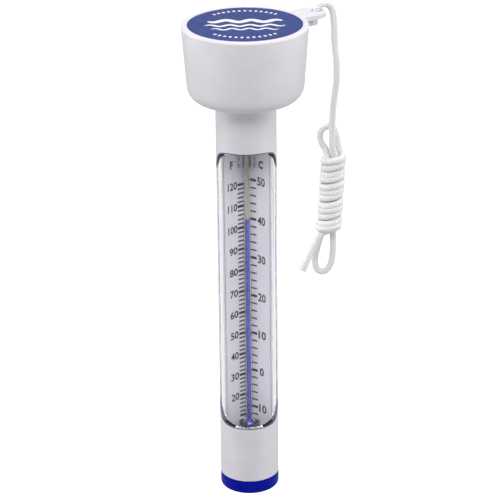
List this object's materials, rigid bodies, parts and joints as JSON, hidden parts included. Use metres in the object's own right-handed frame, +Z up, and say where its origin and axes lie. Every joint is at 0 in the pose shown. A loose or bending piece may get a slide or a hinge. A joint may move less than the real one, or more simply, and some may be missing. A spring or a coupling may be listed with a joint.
{
  "type": "floating pool thermometer",
  "caption": "Floating water thermometer: round float head, clear-fronted casing over a scale card and liquid column, weighted end plug, and a wrapped tether cord on a lug.",
  "frame": {"origin": "centre of the flat bottom face of the end plug", "axes": "+Z up along the casing towards the float head, -Y out through the window, the tether lug towards +X and +Y"},
  "size_m": [0.0649, 0.0521, 0.2022],
  "materials": {
    "white_shell": "satin moulded, faint lilac tint",
    "blue_plug": "moulded, semi-gloss",
    "label": "printed vinyl disc",
    "scale_print": "printed card, matt",
    "clear_lens": "clear polished plastic",
    "tube_glass": "clear drawn glass",
    "blue_liquid": "dyed spirit",
    "holder": "moulded, matt",
    "foam": "closed-cell foam",
    "black_rubber": "soft, matt",
    "ballast": "plated steel",
    "cord": "braided polyester"
  },
  "bodies": {
    "housing": {"float_cup": "white_shell", "float_lid": "white_shell", "lid_seal": "black_rubber", "float_label": "label", "casing_tube": "white_shell", "neck_seal": "black_rubber", "window_lens": "clear_lens", "scale_card": "scale_print", "thermometer_glass": "tube_glass", "bulb_liquid": "blue_liquid", "stem_clip": "holder", "stem_top_pad": "foam", "bulb_grommet": "holder", "neck_ring": "black_rubber", "bulb_pad": "foam", "ballast_weight": "ballast", "end_plug": "blue_plug", "plug_oring": "black_rubber", "tether_knot": "cord", "tether_strand": "cord", "tether_top_loop": "cord", "tether_hank": "cord", "tether_bottom_loop": "cord", "tether_tail": "cord"},
    "liquid": {"liquid_column": "blue_liquid", "liquid_meniscus": "blue_liquid"}
  },
  "joints": [
    {"name": "liquid_rise", "type": "slide", "parent": "housing", "child": "liquid", "axis": [0, 0, 1], "range_m": [-0.084, 0.0168], "deforming": ["liquid_column"]}
  ]
}
